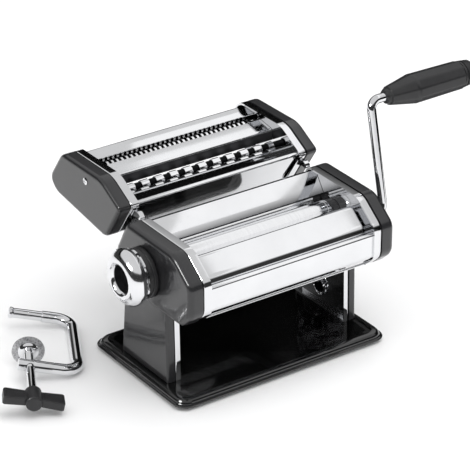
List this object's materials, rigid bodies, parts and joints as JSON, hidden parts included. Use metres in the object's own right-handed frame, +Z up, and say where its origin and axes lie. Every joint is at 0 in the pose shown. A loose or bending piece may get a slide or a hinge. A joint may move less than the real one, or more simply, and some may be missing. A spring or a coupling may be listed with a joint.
{
  "type": "pasta roller machine",
  "caption": "Hand-cranked dough rolling machine with two smooth rollers, a thickness dial, a lift-off noodle cutter attachment, a crank and a loose table clamp.",
  "frame": {"origin": "centre of the whole set's footprint at table level, the loose clamp and the crank included", "axes": "+X along the rollers to the crank side, -Y to the front, +Z up"},
  "size_m": [0.4332, 0.2042, 0.2041],
  "materials": {
    "chrome": "polished chromed steel",
    "steel": "plain steel",
    "cover_enamel": "dark grey gloss enamel",
    "base_enamel": "black high-gloss enamel",
    "dark_plastic": "moulded, faintly grained",
    "rubber": "matt"
  },
  "bodies": {
    "body": {"base_plate": "base_enamel", "left_front_foot": "rubber", "right_front_foot": "rubber", "left_rear_foot": "rubber", "right_rear_foot": "rubber", "left_side_frame": "chrome", "right_side_frame": "chrome", "left_side_cover": "cover_enamel", "right_side_cover": "cover_enamel", "rear_hopper_plate": "chrome", "front_sloped_panel": "chrome", "front_lower_panel": "chrome", "rear_panel": "steel", "front_tie_rod": "steel", "rear_tie_rod": "steel", "front_scraper": "steel", "rear_scraper": "steel", "left_rear_roller_bush": "dark_plastic", "right_rear_roller_bush": "dark_plastic", "drive_shaft_bush": "chrome", "clamp_socket": "chrome"},
    "front_bearings": {"left_front_roller_bush": "dark_plastic", "right_front_roller_bush": "dark_plastic"},
    "front_roller": {"front_roller": "chrome", "front_roller_gear": "steel"},
    "rear_roller": {"rear_roller": "chrome", "rear_roller_gear": "steel"},
    "crank": {"drive_gear": "steel", "crank_arm": "chrome"},
    "grip": {"grip": "dark_plastic", "grip_end_cap": "dark_plastic"},
    "dial_shaft": {"dial_shaft": "steel", "dial_spring": "steel"},
    "dial_knob": {"dial_skirt": "dark_plastic", "dial_notch_ring": "chrome", "dial_cap": "chrome"},
    "cutter": {"left_cutter_frame": "chrome", "right_cutter_frame": "chrome", "left_cutter_cover": "cover_enamel", "right_cutter_cover": "cover_enamel", "left_cutter_cover_screw": "chrome", "cutter_rear_plate": "chrome", "cutter_middle_plate": "chrome", "cutter_front_plate": "chrome", "cutter_lower_plate": "steel", "cutter_tie_rod": "steel", "fine_comb": "steel", "wide_comb": "steel", "left_cutter_hook": "chrome", "right_cutter_hook": "chrome"},
    "fine_cutter_rear": {"fine_cutter_rear": "chrome"},
    "fine_cutter_front": {"fine_cutter_front": "chrome"},
    "wide_cutter_rear": {"wide_cutter_rear": "chrome"},
    "wide_cutter_front": {"wide_cutter_front": "chrome"},
    "clamp": {"clamp_frame": "chrome"},
    "clamp_pad": {"clamp_pad": "chrome"},
    "clamp_screw": {"clamp_screw": "chrome", "wing_knob": "dark_plastic"}
  },
  "joints": [
    {"name": "crank_turn", "type": "hinge", "parent": "body", "child": "crank", "pos_m": [0.00061, -0.06558, 0.1023], "axis": [1, 0, 0], "continuous": true},
    {"name": "grip_spin", "type": "hinge", "parent": "crank", "child": "grip", "pos_m": [0.15061, -0.045, 0.19145], "axis": [1, 0, 0], "continuous": true},
    {"name": "rear_roller_spin", "type": "hinge", "parent": "body", "child": "rear_roller", "pos_m": [0.00061, -0.01408, 0.1005], "axis": [1, 0, 0], "continuous": true},
    {"name": "front_roller_gap", "type": "slide", "parent": "body", "child": "front_bearings", "axis": [0, 1, 0], "range_m": [0, 0.0026]},
    {"name": "front_roller_spin", "type": "hinge", "parent": "front_bearings", "child": "front_roller", "pos_m": [0.00061, -0.04108, 0.1005], "axis": [1, 0, 0], "continuous": true},
    {"name": "dial_turn", "type": "hinge", "parent": "body", "child": "dial_shaft", "pos_m": [-0.09939, -0.03978, 0.1005], "axis": [-1, 0, 0], "range_deg": [0, 180]},
    {"name": "dial_pull", "type": "slide", "parent": "dial_shaft", "child": "dial_knob", "axis": [-1, 0, 0], "range_m": [0, 0.004], "stiffness_N_per_m": 400, "springref_m": -0.003},
    {"name": "cutter_lift", "type": "slide", "parent": "body", "child": "cutter", "axis": [0, -0.4961, 0.8682], "range_m": [0, 0.06]},
    {"name": "fine_rear_spin", "type": "hinge", "parent": "cutter", "child": "fine_cutter_rear", "pos_m": [0.00061, 0.07922, 0.1377], "axis": [1, 0, 0], "continuous": true},
    {"name": "fine_front_spin", "type": "hinge", "parent": "cutter", "child": "fine_cutter_front", "pos_m": [0.00061, 0.06662, 0.1377], "axis": [1, 0, 0], "continuous": true},
    {"name": "wide_rear_spin", "type": "hinge", "parent": "cutter", "child": "wide_cutter_rear", "pos_m": [0.00061, 0.03682, 0.13], "axis": [1, 0, 0], "continuous": true},
    {"name": "wide_front_spin", "type": "hinge", "parent": "cutter", "child": "wide_cutter_front", "pos_m": [0.00061, 0.02542, 0.13], "axis": [1, 0, 0], "continuous": true},
    {"name": "clamp_lift", "type": "slide", "parent": "body", "child": "clamp", "axis": [0, 0, 1], "range_m": [0, 0.08]},
    {"name": "clamp_travel", "type": "slide", "parent": "clamp", "child": "clamp_pad", "axis": [0.4617, 0.887, 0], "range_m": [0, 0.03]},
    {"name": "clamp_screw_turn", "type": "hinge", "parent": "clamp_pad", "child": "clamp_screw", "pos_m": [-0.1778, 0.00006, 0.01334], "axis": [0.4617, 0.887, 0], "range_deg": [0, 7200]}
  ],
  "couplings": [
    {"joint": "front_roller_spin", "follows": "crank_turn", "ratio": -1},
    {"joint": "rear_roller_spin", "follows": "crank_turn", "ratio": 1},
    {"joint": "dial_turn", "follows": "front_roller_gap", "rad_per_m": 1208.3},
    {"joint": "fine_front_spin", "follows": "fine_rear_spin", "ratio": -1},
    {"joint": "wide_front_spin", "follows": "wide_rear_spin", "ratio": -1},
    {"joint": "clamp_screw_turn", "follows": "clamp_travel", "rad_per_m": 4188.8}
  ]
}
